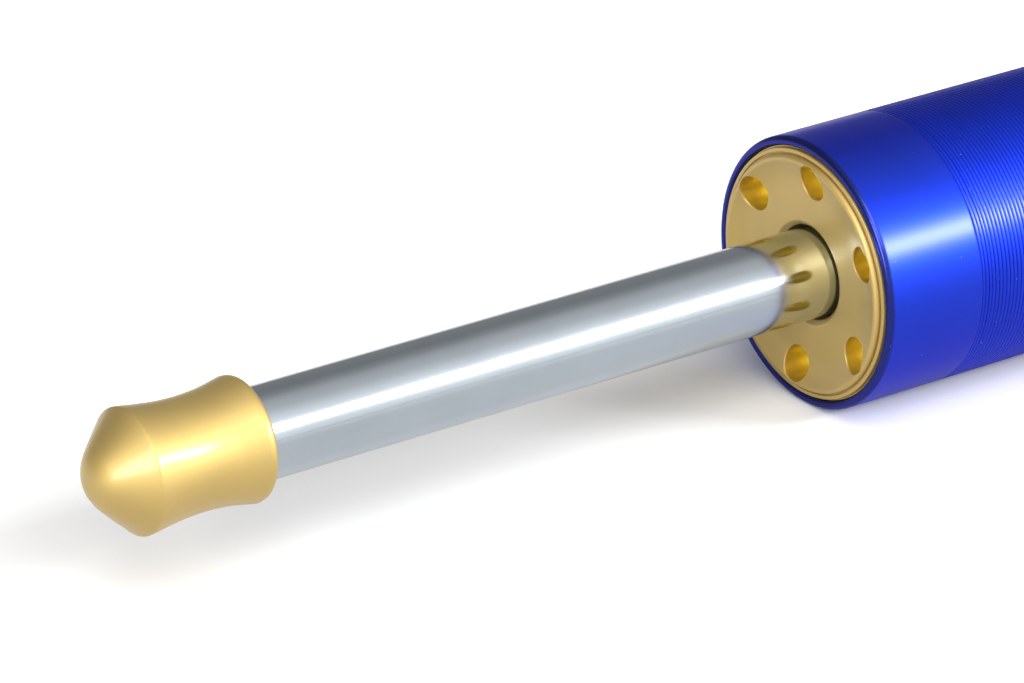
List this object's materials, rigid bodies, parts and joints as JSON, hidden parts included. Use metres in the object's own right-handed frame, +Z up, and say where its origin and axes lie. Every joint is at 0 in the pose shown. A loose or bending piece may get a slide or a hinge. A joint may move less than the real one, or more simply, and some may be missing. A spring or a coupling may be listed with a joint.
{
  "type": "steering damper",
  "caption": "Linear motorcycle steering damper with a ribbed barrel, a through rod with a bullet cap, a click adjuster and a spherical rod end.",
  "frame": {"origin": "centre of the barrel's clamp band, on the damper's axis", "axes": "+X along the axis from the bullet cap towards the rod end, +Z up, parallel to the bolt hole of the eye"},
  "size_m": [0.3248, 0.037, 0.037],
  "materials": {
    "blue_anodised_aluminium": "fine turned, dyed and sealed blue anodising, satin",
    "gold_anodised_aluminium": "fine turned, pale gold anodising, satin",
    "hard_chrome": "ground hard chrome, polished",
    "machined_aluminium": "as turned",
    "bearing_steel": "ground and polished",
    "zinc_plated_steel": "bright zinc plating, satin",
    "spring_steel": "blued, satin",
    "bronze": "as turned",
    "seal_rubber": "moulded, matt",
    "ptfe": "filled plastic, satin"
  },
  "bodies": {
    "barrel": {"barrel_tube": "blue_anodised_aluminium", "front_end_cap": "gold_anodised_aluminium", "rear_end_cap": "gold_anodised_aluminium", "front_gland": "machined_aluminium", "rear_gland": "machined_aluminium", "front_gland_ring": "seal_rubber", "rear_gland_ring": "seal_rubber", "front_rod_bush": "bronze", "rear_rod_bush": "bronze", "front_rod_seal": "seal_rubber", "rear_rod_seal": "seal_rubber", "front_wiper": "seal_rubber", "rear_wiper": "seal_rubber"},
    "piston_band": {"piston_ring": "ptfe"},
    "rod": {"piston": "machined_aluminium", "front_shim_stack": "spring_steel", "rear_shim_stack": "spring_steel", "rod_free_side": "hard_chrome", "rod_eye_side": "hard_chrome", "bullet_end_cap": "gold_anodised_aluminium", "rod_head": "machined_aluminium", "knob_washer": "spring_steel", "knob_clip": "spring_steel", "click_pin": "bearing_steel", "click_spring": "spring_steel", "return_spring": "spring_steel", "lock_nut": "zinc_plated_steel", "rod_end_housing": "zinc_plated_steel", "bearing_race": "bronze"},
    "knob": {"adjuster_knob": "gold_anodised_aluminium"},
    "needle_train": {"follower_ring": "bronze", "cross_pin": "bearing_steel", "push_rod": "machined_aluminium", "needle": "bearing_steel", "needle_seal": "seal_rubber"},
    "ball": {"spherical_ball": "bearing_steel"},
    "bolt_bushes": {"upper_bush": "machined_aluminium", "lower_bush": "machined_aluminium"}
  },
  "joints": [
    {"name": "rod_slide", "type": "slide", "parent": "barrel", "child": "piston_band", "axis": [1, 0, 0], "range_m": [0, 0.075]},
    {"name": "rod_spin", "type": "hinge", "parent": "piston_band", "child": "rod", "pos_m": [-0.0375, 0, 0], "axis": [1, 0, 0], "continuous": true},
    {"name": "knob_turn", "type": "hinge", "parent": "rod", "child": "knob", "pos_m": [0.085, 0, 0], "axis": [1, 0, 0], "range_deg": [0, 720]},
    {"name": "needle_slide", "type": "slide", "parent": "rod", "child": "needle_train", "axis": [-1, 0, 0], "range_m": [0, 0.001], "deforming": ["return_spring"]},
    {"name": "ball_tilt", "type": "hinge", "parent": "rod", "child": "ball", "pos_m": [0.1355, 0, 0], "axis": [0, 1, 0], "range_deg": [-12, 12]},
    {"name": "bush_turn", "type": "hinge", "parent": "ball", "child": "bolt_bushes", "pos_m": [0.1355, 0, 0], "axis": [0, 0, 1], "continuous": true}
  ],
  "couplings": [
    {"joint": "knob_turn", "follows": "needle_slide", "rad_per_m": 12566}
  ]
}
